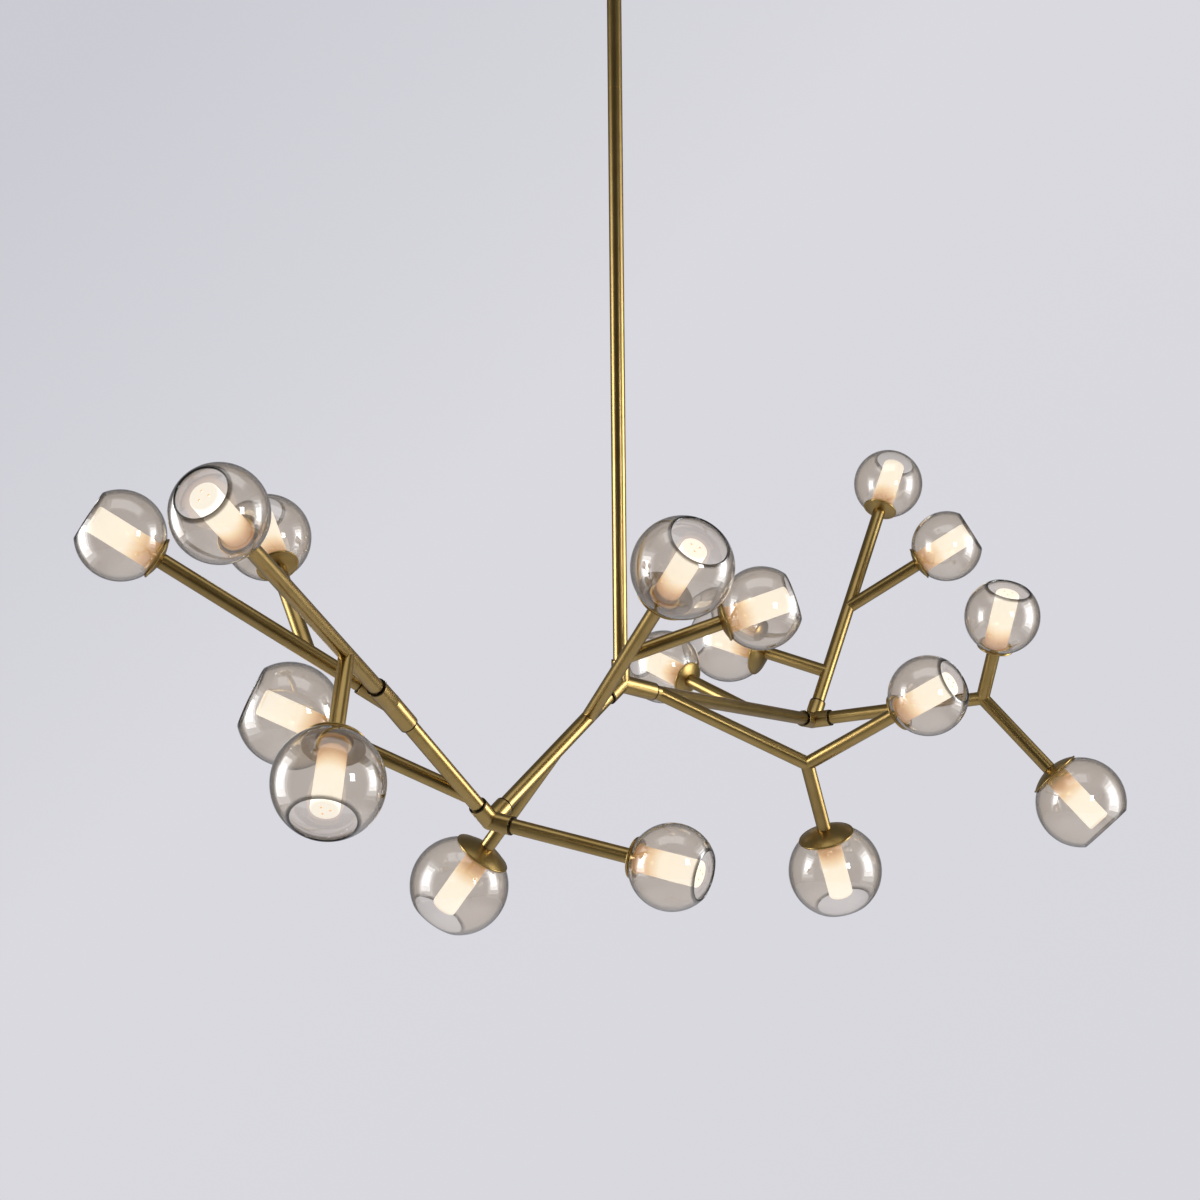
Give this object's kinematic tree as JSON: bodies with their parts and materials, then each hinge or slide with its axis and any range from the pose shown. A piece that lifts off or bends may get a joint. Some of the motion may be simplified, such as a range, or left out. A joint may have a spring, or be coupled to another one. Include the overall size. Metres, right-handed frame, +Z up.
{
  "type": "cluster chandelier",
  "caption": "Branching brass tube chandelier on a ceiling stem, with open smoked-glass globe shades, domed caps and frosted lamp sleeves on arms that turn in hub sockets.",
  "frame": {"origin": "centre of the ceiling bracket's screw pattern, on the ceiling, on the stem's axis", "axes": "+Z up into the ceiling, +X to the viewer's right, +Y away from the viewer"},
  "size_m": [1.2673, 1.3856, 1.3357],
  "materials": {
    "brass": "satin antique brass",
    "smoked_glass": "clear lightly smoked glass",
    "frosted_glass": "satin frosted glass",
    "lamp_glass": "opal glass",
    "steel": "zinc-plated steel",
    "terminal_plastic": "white polyamide"
  },
  "bodies": {
    "ceiling": {"ceiling_bracket": "steel", "swivel_housing": "brass", "hanger_nut": "steel", "terminal_block": "terminal_plastic"},
    "canopy": {"canopy_cover": "brass", "canopy_collar": "brass"},
    "frame": {"swivel_stud": "steel", "stem_upper": "brass", "stem_coupler": "brass", "stem_lower": "brass", "centre_hub": "brass", "front_hub": "brass", "left_hub": "brass", "rear_hub": "brass", "socket_screws": "steel", "front_link_tube": "brass", "front_branch_tubes": "brass", "left_link_tube": "brass", "left_branch_tube": "brass", "short_arm_tube": "brass", "right_stub_tube": "brass", "rear_link_tube": "brass", "low_arm_tube": "brass", "right_branch_tubes": "brass", "frame_shades": "smoked_glass", "frame_caps": "brass", "frame_lampholders": "brass", "frame_lamps": "lamp_glass", "frame_sleeves": "frosted_glass"},
    "left_arm": {"left_arm_tube": "brass", "left_arm_branch_tube": "brass", "left_arm_shades": "smoked_glass", "left_arm_caps": "brass", "left_arm_lampholders": "brass", "left_arm_lamps": "lamp_glass", "left_arm_sleeves": "frosted_glass"},
    "front_arm": {"front_arm_tube": "brass", "front_arm_branch_tube": "brass", "front_arm_shades": "smoked_glass", "front_arm_caps": "brass", "front_arm_lampholders": "brass", "front_arm_lamps": "lamp_glass", "front_arm_sleeves": "frosted_glass"},
    "tall_arm": {"tall_arm_tube": "brass", "tall_arm_branch_tubes": "brass", "tall_arm_shades": "smoked_glass", "tall_arm_caps": "brass", "tall_arm_lampholders": "brass", "tall_arm_lamps": "lamp_glass", "tall_arm_sleeves": "frosted_glass"},
    "right_arm": {"right_arm_tube": "brass", "right_arm_branch_tubes": "brass", "right_arm_shades": "smoked_glass", "right_arm_caps": "brass", "right_arm_lampholders": "brass", "right_arm_lamps": "lamp_glass", "right_arm_sleeves": "frosted_glass"}
  },
  "joints": [
    {"name": "stem_swivel", "type": "hinge", "parent": "ceiling", "child": "frame", "pos_m": [0, 0, -0.0245], "axis": [0, 0, 1], "range_deg": [-170, 170]},
    {"name": "canopy_slide", "type": "slide", "parent": "frame", "child": "canopy", "axis": [0, 0, -1], "range_m": [0, 0.15]},
    {"name": "left_arm_turn", "type": "hinge", "parent": "frame", "child": "left_arm", "pos_m": [-0.25842, -0.31807, -1.03678], "axis": [-0.8183, -0.204, 0.5373], "range_deg": [-60, 60]},
    {"name": "front_arm_turn", "type": "hinge", "parent": "frame", "child": "front_arm", "pos_m": [-0.25842, -0.31807, -1.03678], "axis": [-0.3106, -0.8308, 0.4617], "range_deg": [-60, 60]},
    {"name": "tall_arm_turn", "type": "hinge", "parent": "frame", "child": "tall_arm", "pos_m": [0.27053, 0.41817, -1.09582], "axis": [0.3208, 0.4668, 0.8241], "range_deg": [-60, 60]},
    {"name": "right_arm_turn", "type": "hinge", "parent": "frame", "child": "right_arm", "pos_m": [0.27053, 0.41817, -1.09582], "axis": [0.8543, -0.5032, 0.1305], "range_deg": [-60, 60]}
  ]
}
